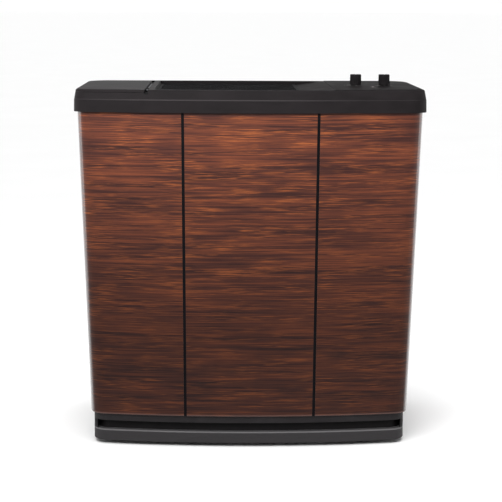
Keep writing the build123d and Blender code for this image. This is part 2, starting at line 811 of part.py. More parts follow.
film_top = cover_top + 0.8
bushing_top = 618
knob_bottom = 617.6
flute_bottom = 621
control_shaft_bottom = 601.5
control_shaft_top = 631
with BuildPart() as control_panel:
    extrude(plan_outline(cover_top, *cover_rim, 4), amount=film_top - cover_top)
    block((panel_left, beyond), (-beyond, beyond), (0, above), Mode.INTERSECT)
    posts([(speed_x, 0), (humidity_x, 0)], 5, cover_top, film_top, Mode.SUBTRACT)
    posts([lens_place], 4, cover_top, film_top, Mode.SUBTRACT)
pieces["control_panel"] = control_panel


def rotary_control(place, half_width, depth):
    """Switch body under the cover with a hollow bushing up through it, in the current part."""
    body_bottom = panel_pocket_top - depth
    rounded_block(
        (place - half_width, place + half_width),
        (-half_width, half_width),
        (body_bottom, panel_pocket_top),
        4,
    )
    posts([(place, 0)], 4.7, panel_pocket_top, bushing_top)
    shaft_bore = control_shaft_radius + running
    posts([(place, 0)], shaft_bore, control_shaft_bottom - 0.5, bushing_top, Mode.SUBTRACT)
    # Two terminals underneath
    for side in (-1, 1):
        terminal_x = place + side * 8
        block((terminal_x - 2, terminal_x + 2), (-0.5, 0.5), (body_bottom - 5, body_bottom + 5))


with BuildPart() as speed_switch:
    rotary_control(speed_x, 16, 18)
pieces["speed_switch"] = speed_switch

with BuildPart() as humidistat:
    rotary_control(humidity_x, 20, 19)
pieces["humidistat"] = humidistat

for control, place, flutes in (("speed", speed_x, 14), ("humidity", humidity_x, 18)):
    with BuildPart() as control_shaft:
        posts([(place, 0)], control_shaft_radius, control_shaft_bottom, control_shaft_top)
        chamfer(edges().group_by(Axis.Z)[-1], 0.6)
    pieces[f"{control}_shaft"] = control_shaft

    with BuildPart() as knob:
        with BuildSketch(Plane.XY.offset(knob_bottom)):
            with Locations((place, 0)):
                Circle(knob_radius + 0.5)
        with BuildSketch(Plane.XY.offset(knob_top)):
            with Locations((place, 0)):
                Circle(knob_radius)
        loft()
        fillet(edges().group_by(Axis.Z)[-1], 1)
        # Finger flutes, stopping above a plain skirt
        with BuildSketch(Plane.XY.offset(flute_bottom)):
            with Locations((place, 0)):
                with PolarLocations(knob_radius + 0.9, flutes, start_angle=90 + 180 / flutes):
                    Circle(1.15)
        extrude(amount=20, mode=Mode.SUBTRACT)
        # Pointer line across the top
        block(
            (place - 0.7, place + 0.7), (-knob_radius + 0.8, -2), (knob_top - 0.5, knob_top + 0.5)
        )
        # Room for the bushing, and the shaft's hole
        posts([(place, 0)], 5.4, knob_bottom, bushing_top + 1.5, Mode.SUBTRACT)
        posts([(place, 0)], control_shaft_radius, bushing_top, control_shaft_top, Mode.SUBTRACT)
    pieces[f"{control}_knob"] = knob

with BuildPart() as refill_lamp:
    posts([lens_place], 4, panel_pocket_top - 2, cover_top + 1.6)
    fillet(edges().group_by(Axis.Z)[-1], 1.2)
    posts([lens_place], 6, panel_pocket_top - 10, panel_pocket_top)
pieces["refill_lamp"] = refill_lamp

# ---- Terminal box, leads, cord gland and level sensor ----

box_x = (180, 250)
box_y = (72, 118)
box_wall = 2
box_top = deck_top + 15
box_lid_top = box_top + box_wall
with BuildPart() as terminal_box:
    rounded_block(box_x, box_y, (deck_top, box_top), 4)
    rounded_block(
        (box_x[0] + box_wall, box_x[1] - box_wall),
        (box_y[0] + box_wall, box_y[1] - box_wall),
        (deck_top + box_wall, box_top),
        3,
        Mode.SUBTRACT,
    )
pieces["terminal_box"] = terminal_box

with BuildPart() as terminal_box_cover:
    rounded_block(box_x, box_y, (box_top, box_lid_top), 4)
    posts([(188, 80), (242, 110)], 2.6, box_lid_top, box_lid_top + 1.2)
pieces["terminal_box_cover"] = terminal_box_cover

lead_height = deck_top + 8
lead_start = (fan_x + motor_radius, 0, 490)
box_middle_y = (box_y[0] + box_y[1]) / 2
with BuildPart() as internal_leads:
    with BuildLine():
        FilletPolyline(
            lead_start,
            (lead_place[0], 0, lead_start[2]),
            (lead_place[0], 0, lead_height),
            (lead_place[0] + 35, box_middle_y, lead_height),
            (box_x[0], box_middle_y, lead_height),
            radius=12,
        )
    with BuildSketch(Plane(lead_start, z_dir=(1, 0, 0))):
        Circle(2.5)
    sweep()
    # Leads from the two switches to the terminal box
    with BuildSketch(Plane.XZ.offset(-box_y[0])):
        with Locations((speed_x, 598), (humidity_x, 598)):
            Circle(1.8)
    extrude(amount=box_y[0] - 20)
    block((speed_x - 4, speed_x + 4), (16, 20), (594, 602))
pieces["internal_leads"] = internal_leads

gland_inner = 162
gland_outer = 179.6
gland_nut_outer = 175.5
gland_bore = 3.7
with BuildPart() as cord_gland:
    with BuildSketch(Plane.XZ.offset(-gland_outer)):
        with Locations(gland_place):
            Circle(gland_radius)
    extrude(amount=gland_outer - gland_inner)
    with BuildSketch(Plane.XZ.offset(-gland_nut_outer)):
        with Locations(gland_place):
            RegularPolygon(8.5, 6)
    extrude(amount=6)
    with BuildSketch(Plane.XZ.offset(-gland_outer)):
        with Locations(gland_place):
            Circle(gland_bore)
    extrude(amount=gland_outer - gland_inner, mode=Mode.SUBTRACT)
pieces["cord_gland"] = cord_gland

with BuildPart() as level_sensor:
    posts([sensor_place], 6, 352, deck_top)
    fillet(edges().group_by(Axis.Z)[0], 3)
    posts([sensor_place], 10, deck_top, deck_top + 4)
pieces["level_sensor"] = level_sensor

# ---- Casters ----

crown_bottom = 36
crown_top = crown_bottom + 3
fork_inner = wheel_width / 2 + 1.5
cheek_thickness = 2.5
axle_radius = 2.5
axle_half = fork_inner + cheek_thickness

for corner, (stem_x, stem_y) in caster_places.items():
    axle_y = stem_y + caster_trail
    with BuildPart() as caster_fork:
        posts([(stem_x, stem_y)], 14, crown_bottom, crown_top)
        posts([(stem_x, stem_y)], stem_radius, crown_top, boss_top - 4)
        for cheek_left in (stem_x - axle_half, stem_x + fork_inner):
            with BuildSketch(Plane.YZ.offset(cheek_left)):
                with Locations((axle_y, wheel_radius)):
                    Circle(5.5)
                with Locations((stem_y + 1, crown_bottom + 1)):
                    Rectangle(17, 2)
                make_hull()
            extrude(amount=cheek_thickness)
        with BuildSketch(Plane.YZ.offset(stem_x - 20)):
            with Locations((axle_y, wheel_radius)):
                Circle(axle_radius)
        extrude(amount=40, mode=Mode.SUBTRACT)
    pieces[f"caster_fork_{corner}"] = caster_fork

    with BuildPart() as caster_axle:
        with BuildSketch(Plane.YZ.offset(stem_x - axle_half)):
            with Locations((axle_y, wheel_radius)):
                Circle(axle_radius)
        extrude(amount=2 * axle_half)
        for side in (-1, 1):
            with BuildSketch(Plane.YZ.offset(stem_x + side * axle_half)):
                with Locations((axle_y, wheel_radius)):
                    Circle(4)
            extrude(amount=side * 1)
    pieces[f"caster_axle_{corner}"] = caster_axle

    with BuildPart() as caster_wheel:
        with BuildSketch(Plane.YZ.offset(stem_x - wheel_width / 2)):
            with Locations((axle_y, wheel_radius)):
                Circle(wheel_radius)
        extrude(amount=wheel_width)
        fillet(edges(), 3)
        for side in (-1, 1):
            with BuildSketch(Plane.YZ.offset(stem_x + side * wheel_width / 2)):
                with Locations((axle_y, wheel_radius)):
                    Circle(12)
                    Circle(6, mode=Mode.SUBTRACT)
            extrude(amount=-side * 4, mode=Mode.SUBTRACT)
        with BuildSketch(Plane.YZ.offset(stem_x - wheel_width / 2)):
            with Locations((axle_y, wheel_radius)):
                Circle(axle_radius + running)
        extrude(amount=wheel_width, mode=Mode.SUBTRACT)
    pieces[f"caster_wheel_{corner}"] = caster_wheel

# ---- Write one file for each piece ----

os.makedirs("parts", exist_ok=True)
for name, piece in pieces.items():
    piece.part.label = name
    export_step(piece.part, f"parts/{name}.step")
print(len(pieces), "pieces")
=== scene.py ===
from math import cos, pi, radians, sin

import bpy
from mathutils import Matrix, Vector, noise


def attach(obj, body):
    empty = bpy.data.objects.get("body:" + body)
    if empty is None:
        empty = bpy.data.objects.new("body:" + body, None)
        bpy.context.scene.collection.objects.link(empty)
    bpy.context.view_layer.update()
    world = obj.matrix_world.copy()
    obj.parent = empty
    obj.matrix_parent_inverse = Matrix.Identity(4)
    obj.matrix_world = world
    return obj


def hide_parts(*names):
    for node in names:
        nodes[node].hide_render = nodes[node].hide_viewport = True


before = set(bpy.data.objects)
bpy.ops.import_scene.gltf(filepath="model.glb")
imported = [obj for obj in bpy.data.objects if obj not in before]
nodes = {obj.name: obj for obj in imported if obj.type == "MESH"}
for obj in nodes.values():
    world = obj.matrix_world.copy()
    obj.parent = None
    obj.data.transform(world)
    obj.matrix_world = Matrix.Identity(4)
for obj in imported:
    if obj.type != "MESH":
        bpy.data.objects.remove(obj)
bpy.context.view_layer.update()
mm = 0.001

# Levels and places on the CAD parts, in millimetres
groove_bottom, groove_top = 26.3, 42
cabinet_foot = 54.5
# Heights of the wood's painted shade towards the foot and of its painted shadow under the cover
full_shade_top, shade_clear_height = 200, 560
cover_shadow_bottom, cover_shadow_top = 573, 577
# Band of the cover's step, which gets a painted highlight
cover_step = (598.6, 600.0)
slit_bottom = 608
slit_sides = (-179.2, -172.9)
pointer_paint = (636.28, 636.34)


# ---- Node graph helpers ----


class Look:
    """One procedural material, built round a Principled shader."""

    def __init__(self, name, **sockets):
        self.material = bpy.data.materials.new(name)
        self.material.use_nodes = True
        self.tree = self.material.node_tree
        self.shader = self.tree.nodes["Principled BSDF"]
        for socket, value in sockets.items():
            self.shader.inputs[socket.replace("_", " ")].default_value = value
        coordinates = self.node("ShaderNodeTexCoord")
        self.place = coordinates.outputs["Object"]
        self.facing = coordinates.outputs["Normal"]

    def node(self, kind, inputs=None, **settings):
        made = self.tree.nodes.new(kind)
        for setting, value in settings.items():
            setattr(made, setting, value)
        for socket, value in (inputs or {}).items():
            if isinstance(value, bpy.types.NodeSocket):
                self.tree.links.new(value, made.inputs[socket])
            else:
                made.inputs[socket].default_value = value
        return made

    def sum(self, operation, a, b=0.0, clamp=False):
        inputs = {0: a, 1: b}
        made = self.node("ShaderNodeMath", inputs, operation=operation, use_clamp=clamp)
        return made.outputs[0]

    def stretch(self, size, vector=None, move=(0, 0, 0)):
        """Coordinates in which one unit is size metres along each axis."""
        scale = [1 / s for s in size]
        inputs = {"Vector": vector or self.place, "Scale": scale, "Location": move}
        return self.node("ShaderNodeMapping", inputs).outputs[0]

    def noise(self, vector, detail=3.0, roughness=0.55, distortion=0.0):
        inputs = {
            "Vector": vector,
            "Scale": 1.0,
            "Detail": detail,
            "Roughness": roughness,
            "Distortion": distortion,
        }
        return self.node("ShaderNodeTexNoise", inputs).outputs[0]

    def cells(self, vector, feature="F1"):
        inputs = {"Vector": vector, "Scale": 1.0}
        return self.node("ShaderNodeTexVoronoi", inputs, feature=feature).outputs["Distance"]

    def remap(self, value, low, high, to_low, to_high, kind="LINEAR"):
        inputs = {0: value, 1: low, 2: high, 3: to_low, 4: to_high}
        return self.node("ShaderNodeMapRange", inputs, interpolation_type=kind).outputs[0]

    def ramp(self, value, stops):
        made = self.node("ShaderNodeValToRGB", {0: value})
        elements = made.color_ramp.elements
        while len(elements) < len(stops):
            elements.new(0.5)
        for element, (position, colour) in zip(elements, stops):
            element.position = position
            element.color = (*colour, 1)
        return made.outputs[0]

    def mix(self, share, a, b, blend="MIX"):
        made = self.node("ShaderNodeMix", data_type="RGBA", blend_type=blend)
        for socket, value in ((0, share), (6, a), (7, b)):
            if isinstance(value, bpy.types.NodeSocket):
                self.tree.links.new(value, made.inputs[socket])
            elif isinstance(value, tuple):
                made.inputs[socket].default_value = (*value, 1)
            else:
                made.inputs[socket].default_value = value
        return made.outputs[2]

    def axis(self, index, vector=None):
        return self.node("ShaderNodeSeparateXYZ", {0: vector or self.place}).outputs[index]

    def grey(self, value):
        return self.node("ShaderNodeCombineColor", {0: value, 1: value, 2: value}).outputs[0]

    def blend_of(self, *parts):
        """Sum of values, each times its share."""
        total = None
        for value, share in parts:
            scaled = self.sum("MULTIPLY", value, share)
            total = scaled if total is None else self.sum("ADD", total, scaled)
        return total

    def band(self, value, low, high, soft):
        """1 between low and high, fading to 0 over soft on either side."""
        rise = self.remap(value, low - soft, low, 0, 1)
        fall = self.remap(value, high, high + soft, 1, 0)
        return self.sum("MULTIPLY", rise, fall)

    def soft_edge(self, radius):
        """Normal that rounds the model's edges."""
        return self.node("ShaderNodeBevel", {"Radius": radius}, samples=6).outputs[0]

    def edge(self, rounded, gain=4.0):
        """1 along edges and 0 on open faces."""
        flat = self.node("ShaderNodeNewGeometry").outputs["Normal"]
        dot = self.node("ShaderNodeVectorMath", {0: rounded, 1: flat}, operation="DOT_PRODUCT")
        away = self.sum("SUBTRACT", 1.0, dot.outputs["Value"])
        return self.sum("MULTIPLY", away, gain, clamp=True)

    def bump(self, height, depth, strength=1.0, normal=None):
        inputs = {"Height": height, "Distance": depth, "Strength": strength}
        if normal is not None:
            inputs["Normal"] = normal
        return self.node("ShaderNodeBump", inputs).outputs[0]

    def finish(self, **sockets):
        for socket, value in sockets.items():
            self.tree.links.new(value, self.shader.inputs[socket.replace("_", " ")])
        return self.material


# ---- Materials ----


def wood_grain():
    look = Look("wood_grain", Specular_IOR_Level=0.14, Coat_Roughness=0.15, Coat_IOR=2.4)
    # The figure runs level round the cabinet and waves slightly
    wave = look.noise(look.stretch((0.25, 0.25, 0.12)), 2.0)
    lift = look.remap(wave, 0.3, 0.7, -0.7 * mm, 0.7 * mm)
    offset = look.node("ShaderNodeCombineXYZ", {2: lift}).outputs[0]
    place = look.node("ShaderNodeVectorMath", {0: look.place, 1: offset}).outputs[0]
    patches = look.noise(look.stretch((0.12, 0.12, 28 * mm), place), 2.0)
    bands = look.noise(look.stretch((0.30, 0.30, 6 * mm), place, (3, 1, 5)), 1.0)
    lines = look.noise(look.stretch((0.14, 0.14, 1.7 * mm), place, (7, 2, 1)), 1.0)
    figure = look.blend_of((patches, 0.25), (bands, 0.30), (lines, 0.45))
    wood_colour = look.ramp(
        figure,
        [
            (0.38, (0.034, 0.0118, 0.0098)),
            (0.45, (0.054, 0.0172, 0.0130)),
            (0.50, (0.080, 0.0236, 0.0146)),
            (0.55, (0.112, 0.0312, 0.0166)),
            (0.62, (0.170, 0.0460, 0.0205)),
        ],
    )
    # Short orange flecks gather in patches
    flecks = look.noise(look.stretch((38 * mm, 38 * mm, 1.4 * mm), place, (1, 8, 3)), 2.5)
    gather = look.noise(look.stretch((80 * mm, 80 * mm, 15 * mm), place, (5, 5, 2)), 1.0)
    fleck_share = look.remap(flecks, 0.49, 0.66, 0, 0.85)
    gather_share = look.remap(gather, 0.40, 0.62, 0.10, 1.0)
    wood_colour = look.mix(
        look.sum("MULTIPLY", fleck_share, gather_share), wood_colour, (0.310, 0.0860, 0.0260)
    )
    # Painted shade: the wood is painted darker towards the foot, where less light falls, and a
    # painted shadow darkens it just under the cover
    depth = look.remap(look.axis(2), full_shade_top * mm, shade_clear_height * mm, 0.38, 1.0)
    # Painted shadow just under the cover
    cover_shadow = look.remap(look.axis(2), cover_shadow_bottom * mm, cover_shadow_top * mm, 1.0, 0.4)
    shade = look.sum("MULTIPLY", depth, cover_shadow)
    wood_colour = look.mix(1.0, wood_colour, look.grey(shade), "MULTIPLY")
    pore_noise = look.noise(look.stretch((9 * mm, 9 * mm, 0.7 * mm), place), 2.0)
    pores = look.remap(pore_noise, 0.62, 0.74, 0, 1)
    wood_colour = look.mix(look.sum("MULTIPLY", pores, 0.45), wood_colour, (0.018, 0.007, 0.006))
    # Painted reflections: pale edges, and a pale line where the laminate turns under at the foot
    rounded = look.soft_edge(0.8 * mm)
    edge = look.edge(rounded, 5.0)
    colour = look.mix(look.sum("MULTIPLY", edge, 0.5), wood_colour, (0.12, 0.07, 0.065))
    # Painted highlight along the foot's rounded edge
    foot_highlight = look.remap(look.axis(2), (cabinet_foot + 1.5) * mm, (cabinet_foot + 4) * mm, 0.5, 0.0)
    colour = look.mix(foot_highlight, colour, (0.17, 0.095, 0.080))
    rough = look.remap(lines, 0.3, 0.7, 0.34, 0.46)
    # The rounded front corners are polished by handling; the flat sides are not
    sideways = look.sum("ABSOLUTE", look.axis(0, look.facing))
    rise = look.remap(sideways, 0.74, 0.90, 0, 1)
    gloss = look.sum("MULTIPLY", rise, look.remap(sideways, 0.985, 0.997, 1, 0))
    height = look.sum("SUBTRACT", lines, look.sum("MULTIPLY", pores, 0.5))
    return look.finish(
        Base_Color=colour,
        Roughness=rough,
        Coat_Weight=gloss,
        Normal=look.bump(height, 0.05 * mm, 0.5, rounded),
    )


def moulded(name, colour, rough, grain=0.55, relief=0.05, edge_highlight=0.35, edge_radius=0.5, **sockets):
    """Moulded plastic: fine spark texture, faint flow marks, and a painted highlight along its
    edges.
    """
    look = Look(name, **sockets)
    flow = look.noise(look.stretch((60 * mm, 60 * mm, 25 * mm)), 3.0, 0.5, 0.6)
    spark = look.noise(look.stretch((grain * mm,) * 3), 2.0, 0.6)
    pits = look.cells(look.stretch((1.6 * grain * mm,) * 3))
    lighter = tuple(min(1.0, c * 1.22 + 0.001) for c in colour)
    darker = tuple(c * 0.80 for c in colour)
    cloud = look.blend_of((flow, 0.7), (spark, 0.3))
    base = look.ramp(cloud, [(0.35, darker), (0.65, lighter)])
    rounded = look.soft_edge(edge_radius * mm)
    edge = look.edge(rounded)
    # Painted highlight: the edges are painted lighter
    highlight_colour = tuple(min(1.0, c * 1.5 + 0.006) for c in colour)
    base = look.mix(look.sum("MULTIPLY", edge, edge_highlight), base, highlight_colour)
    shine = look.remap(flow, 0.3, 0.7, rough - 0.05, rough + 0.05)
    shine = look.sum("SUBTRACT", shine, look.sum("MULTIPLY", edge, 0.12))
    height = look.sum("ADD", spark, look.sum("MULTIPLY", pits, 0.5))
    return look, base, shine, look.bump(height, relief * mm, 0.6, rounded)


def plain_moulded(*args, **kwargs):
    look, base, shine, normal = moulded(*args, **kwargs)
    return look.finish(Base_Color=base, Roughness=shine, Normal=normal)


def cover_plastic():
    """Black plastic with a painted highlight along the narrow step round the cover, fainter at its
    ends.
    """
    look, base, shine, normal = moulded(
        "black_plastic",
        (0.0105, 0.0086, 0.0093),
        0.6,
        Specular_IOR_Level=0.07,
        Sheen_Roughness=0.4,
    )
    across, height = look.axis(0), look.axis(2)
    # Painted highlight along the cover's step, fading towards both ends
    step = look.band(height, cover_step[0] * mm, cover_step[1] * mm, 0.5 * mm)
    left_fade = look.remap(across, -0.30, -0.18, 0.1, 0.8)
    right_fade = look.remap(across, 0.04, 0.20, 1.0, 0.1)
    step_highlight = look.sum("MULTIPLY", step, look.sum("MULTIPLY", left_fade, right_fade))
    base = look.mix(step_highlight, base, (0.034, 0.030, 0.031))
    # Painted shade: the door's slit is painted dark
    slit_shade = look.band(across, slit_sides[0] * mm, slit_sides[1] * mm, 0.3 * mm)
    above = look.remap(height, slit_bottom * mm, (slit_bottom + 1) * mm, 0, 1)
    slit_shade = look.sum("MULTIPLY", slit_shade, above)
    base = look.mix(slit_shade, base, (0.002, 0.0017, 0.0018))
    # Painted sheen: strongest towards the fill door and fading to the right, as if more light fell
    # on the left, and none in the slit
    painted_sheen = look.remap(across, -0.15, 0.08, 0.045, 0.006)
    painted_sheen = look.sum("MULTIPLY", painted_sheen, look.sum("SUBTRACT", 1.0, slit_shade))
    return look.finish(Base_Color=base, Roughness=shine, Sheen_Weight=painted_sheen, Normal=normal)


def plinth_plastic():
    """Black plinth: painted shade in the toe groove, a painted highlight on the lip, and the face
    below it painted paler as if more lit.
    """
    look, base, shine, normal = moulded(
        "plinth_plastic", (0.0205, 0.0185, 0.0195), 0.5, 0.8, 0.02, Specular_IOR_Level=0.07
    )
    height = look.axis(2)
    # Painted light: the face below the groove is painted paler
    face = look.remap(height, (groove_bottom - 2) * mm, groove_bottom * mm, 1, 0)
    base = look.mix(face, base, (0.0350, 0.0330, 0.0345))
    # Painted shade in the toe groove, deepest just under the band
    groove = look.band(height, (groove_bottom + 1) * mm, (groove_top - 1.3) * mm, 1 * mm)
    groove_shade = look.remap(height, (groove_bottom + 1.7) * mm, (groove_top - 5) * mm, 0.45, 0.95)
    base = look.mix(look.sum("MULTIPLY", groove, groove_shade), base, (0.0012, 0.0010, 0.0011))
    # Painted highlight along the lip's rounded top edge
    lip_highlight = look.band(height, (groove_bottom - 1.8) * mm, (groove_bottom - 0.2) * mm, 0.7 * mm)
    base = look.mix(look.sum("MULTIPLY", lip_highlight, 0.9), base, (0.150, 0.146, 0.150))
    return look.finish(Base_Color=base, Roughness=shine, Normal=normal)


def knob_plastic():
    look, base, shine, normal = moulded(
        "knob_plastic", (0.0085, 0.0072, 0.0078), 0.6, 0.4, 0.03, Specular_IOR_Level=0.08
    )
    # Paint on the raised pointer line
    paint = look.remap(look.axis(2), pointer_paint[0] * mm, pointer_paint[1] * mm, 0, 1)
    base = look.mix(paint, base, (0.62, 0.61, 0.58))
    return look.finish(Base_Color=base, Roughness=shine, Normal=normal)


def stained_frame(name, colour, rough):
    """Pale plastic that stands in water, with a chalky tide line."""
    look, base, shine, normal = moulded(name, colour, rough, 0.7, 0.03)
    tide = look.noise(look.stretch((25 * mm, 25 * mm, 90 * mm)), 4.0, 0.6)
    height = look.sum("ADD", look.axis(2), look.sum("MULTIPLY", tide, 60 * mm))
    chalk = look.remap(height, 0.16, 0.24, 0.5, 0.0, "SMOOTHSTEP")
    base = look.mix(chalk, base, (0.78, 0.74, 0.66))
    return look.finish(Base_Color=base, Roughness=shine, Normal=normal)


def lamp_plastic():
    """Smoked red lens, dark while the lamp is off."""
    look = Look("lamp_plastic", Coat_Weight=0.3, Coat_Roughness=0.2, Transmission_Weight=0.2)
    prisms = look.cells(look.stretch((0.9 * mm, 0.9 * mm, 0.9 * mm)))
    glow = look.remap(prisms, 0.0, 0.8, 0, 1)
    colour = look.ramp(glow, [(0.0, (0.045, 0.006, 0.004)), (1.0, (0.018, 0.003, 0.002))])
    rough = look.remap(prisms, 0.0, 0.8, 0.12, 0.24)
    return look.finish(Base_Color=colour, Roughness=rough, Normal=look.bump(prisms, 0.15 * mm, 0.7))


def metal(name, colour, rough, brushed, tint=(1.0, 1.0, 1.0), relief=0.02):
    """Metal with a brushed or cloudy finish and brighter rubbed edges."""
    look = Look(name, Metallic=1.0)
    cloud = look.noise(look.stretch((6 * mm,) * 3), 4.0, 0.6, 0.5)
    lay = look.noise(look.stretch(tuple(b * mm for b in brushed)), 3.0, 0.6)
    shaded = tuple(c * t * 0.78 for c, t in zip(colour, tint))
    base = look.ramp(look.blend_of((cloud, 0.6), (lay, 0.4)), [(0.35, shaded), (0.65, colour)])
    rounded = look.soft_edge(0.3 * mm)
    edge = look.edge(rounded)
    rubbed = tuple(min(1.0, c * 1.25) for c in colour)
    base = look.mix(look.sum("MULTIPLY", edge, 0.5), base, rubbed)
    shine = look.remap(lay, 0.3, 0.7, rough - 0.08, rough + 0.08)
    normal = look.bump(lay, relief * mm, 0.6, rounded)
    return look.finish(Base_Color=base, Roughness=shine, Normal=normal)


def lamination():
    look = Look("lamination", Metallic=0.9)
    level = look.sum("MULTIPLY", look.axis(2), 2 * pi / (0.65 * mm))
    sheet = look.remap(look.sum("SINE", level), -1.0, 1.0, 0, 1)
    rust = look.remap(look.noise(look.stretch((5 * mm,) * 3), 4.0), 0.55, 0.72, 0, 0.6)
    base = look.ramp(sheet, [(0.1, (0.07, 0.066, 0.063)), (0.6, (0.36, 0.35, 0.34))])
    base = look.mix(rust, base, (0.20, 0.10, 0.05))
    rough = look.remap(sheet, 0, 1, 0.6, 0.38)
    return look.finish(Base_Color=base, Roughness=rough, Normal=look.bump(sheet, 0.12 * mm, 0.8))


def bronze():
    look = Look("bronze", Metallic=1.0)
    pores = look.cells(look.stretch((0.35 * mm,) * 3))
    oil = look.noise(look.stretch((4 * mm,) * 3), 3.0)
    base = look.ramp(pores, [(0.12, (0.16, 0.10, 0.05)), (0.35, (0.56, 0.38, 0.19))])
    base = look.mix(look.remap(oil, 0.5, 0.7, 0, 0.5), base, (0.22, 0.13, 0.06))
    rough = look.remap(oil, 0.3, 0.7, 0.5, 0.3)
    return look.finish(Base_Color=base, Roughness=rough, Normal=look.bump(pores, 0.06 * mm, 0.8))


def wick_paper():
    look = Look(
        "wick_paper",
        Roughness=0.9,
        Sheen_Weight=0.25,
        Sheen_Roughness=0.6,
        Specular_IOR_Level=0.2,
    )
    depth = look.node("ShaderNodeAttribute", attribute_name="cell").outputs["Fac"]
    fibre = look.noise(look.stretch((2.5 * mm, 2.5 * mm, 0.6 * mm)), 4.0, 0.65)
    damp = look.noise(look.stretch((70 * mm, 70 * mm, 50 * mm)), 3.0)
    paper = look.ramp(fibre, [(0.3, (0.56, 0.48, 0.34)), (0.7, (0.80, 0.73, 0.58))])
    # Painted shade: the cells are painted darker towards their hollow middles
    shaded = look.mix(look.remap(depth, 0.1, 0.9, 0.0, 0.75), paper, (0.17, 0.13, 0.08))
    tint = look.remap(damp, 0.45, 0.7, 0.0, 0.45)
    colour = look.mix(tint, shaded, (0.34, 0.24, 0.13))
    return look.finish(Base_Color=colour, Normal=look.bump(fibre, 0.3 * mm, 0.7))


def open_foam(name, colour, cell, relief):
    look = Look(name, Roughness=0.95, Specular_IOR_Level=0.15, Sheen_Weight=0.15)
    holes = look.cells(look.stretch((cell * mm,) * 3))
    shade = look.noise(look.stretch((30 * mm,) * 3), 3.0)
    # Painted shade inside the foam's pores
    pore_shade = tuple(c * 0.25 for c in colour)
    base = look.ramp(holes, [(0.15, pore_shade), (0.5, colour)])
    base = look.mix(look.remap(shade, 0.4, 0.7, 0, 0.35), base, tuple(c * 1.5 for c in colour))
    return look.finish(Base_Color=base, Normal=look.bump(holes, relief * mm, 0.9))


def caster_tyre():
    look, base, shine, normal = moulded("caster_tyre", (0.022, 0.022, 0.023), 0.72, 0.5, 0.05)
    dust = look.remap(look.noise(look.stretch((9 * mm,) * 3), 4.0, 0.6), 0.5, 0.72, 0, 0.5)
    base = look.mix(dust, base, (0.11, 0.105, 0.095))
    return look.finish(Base_Color=base, Roughness=shine, Normal=normal)


looks = {
    "wood_grain": wood_grain(),
    "black_plastic": cover_plastic(),
    "dark_trim": plain_moulded(
        "dark_trim", (0.0028, 0.0024, 0.0030), 0.55, 0.5, 0.03, Specular_IOR_Level=0.06
    ),
    "tub_plastic": plain_moulded("tub_plastic", (0.030, 0.030, 0.032), 0.58, 0.7, 0.04),
    "knob_plastic": knob_plastic(),
    "panel_film": plain_moulded(
        "panel_film", (0.008, 0.0066, 0.0072), 0.55, 0.35, 0.02, Specular_IOR_Level=0.05
    ),
    "lamp_plastic": lamp_plastic(),
    "frame_plastic": stained_frame("frame_plastic", (0.60, 0.62, 0.63), 0.5),
    "wick_paper": wick_paper(),
    "filter_foam": open_foam("filter_foam", (0.075, 0.078, 0.085), 2.2, 0.9),
    "float_foam": open_foam("float_foam", (0.74, 0.72, 0.66), 0.9, 0.15),
    "fan_plastic": plain_moulded("fan_plastic", (0.10, 0.105, 0.115), 0.45, 0.6, 0.02),
    "zinc_steel": metal("zinc_steel", (0.62, 0.63, 0.64), 0.36, (0.5, 0.5, 4), (1.0, 0.96, 0.84)),
    "screw_steel": metal("screw_steel", (0.22, 0.22, 0.23), 0.40, (0.4, 0.4, 0.4), (0.9, 0.9, 1.0)),
    "motor_paint": plain_moulded(
        "motor_paint", (0.020, 0.020, 0.022), 0.35, 1.3, 0.05, Coat_Weight=0.4
    ),
    "lamination": lamination(),
    "bronze": bronze(),
    "magnet": metal("magnet", (0.55, 0.55, 0.56), 0.24, (0.4, 0.4, 3.0)),
    "lead_sheath": plain_moulded("lead_sheath", (0.020, 0.020, 0.021), 0.4, 0.9, 0.03),
    "caster_tyre": caster_tyre(),
}

for cad_node in nodes.values():
    for part_slot in cad_node.material_slots:
        part_slot.material = looks[part_slot.material.name.split(".")[0]]
nodes["plinth_base"].material_slots[0].material = plinth_plastic()


# ---- Wick, filter and printed dials ----


def make_piece(name, points, faces, material, smooth=True):
    """Mesh piece that takes its finish from a slot; points are in millimetres."""
    mesh = bpy.data.meshes.new(name)
    mesh.from_pydata([Vector(point) * mm for point in points], [], faces)
    mesh.materials.append(material)
    mesh.polygons.foreach_set("use_smooth", [smooth] * len(mesh.polygons))
    piece = bpy.data.objects.new(name, mesh)
    bpy.context.scene.collection.objects.link(piece)
    return piece


def wrapped_rows(row_count, row_length):
    """Quads over rows of points; each row closes on itself and the last meets the first."""
    quads = []
    for row in range(row_count):
        above = (row + 1) % row_count
        for step in range(row_length):
            after = (step + 1) % row_length
            quads.append(
                (
                    row * row_length + step,
                    row * row_length + after,
                    above * row_length + after,
                    above * row_length + step,
                )
            )
    return quads


def rounded_loop(half_x, half_y, radius, count):
    """Places and outward directions at even steps round a rounded rectangle, anticlockwise."""
    runs = (2 * (half_y - radius), 2 * (half_x - radius)) * 2
    corners = [(1, 1), (-1, 1), (-1, -1), (1, -1)]
    arc = pi * radius / 2
    total = sum(runs) + 4 * arc
    loop = []
    for step in range(count):
        along = total * step / count
        side = 0
        while along > runs[side] + arc:
            along -= runs[side] + arc
            side += 1
        turn = side * pi / 2
        short = max(0.0, runs[side] - along)
        swing = turn + max(0.0, along - runs[side]) / radius
        outward = Vector((cos(swing), sin(swing), 0))
        travel = Vector((-sin(turn), cos(turn), 0))
        corner_x, corner_y = corners[side]
        centre = Vector((corner_x * (half_x - radius), corner_y * (half_y - radius), 0))
        loop.append((centre + outward * radius - travel * short, outward))
    return loop


wick_x = -37
wick_bottom, wick_top = 78, 470
wick_end = 4  # over which the cells fade out to the flat cut ends
# Half width, half depth and corner radius
wick_outside = (134.5, 99.5, 11)
wick_inside = (111.5, 76.5, 12.5)
wick_outer_rows, wick_inner_rows = 140, 60
wick_around = 480
wick_cells_around = 60
wick_cell_height = 15
wick_relief = 3.0


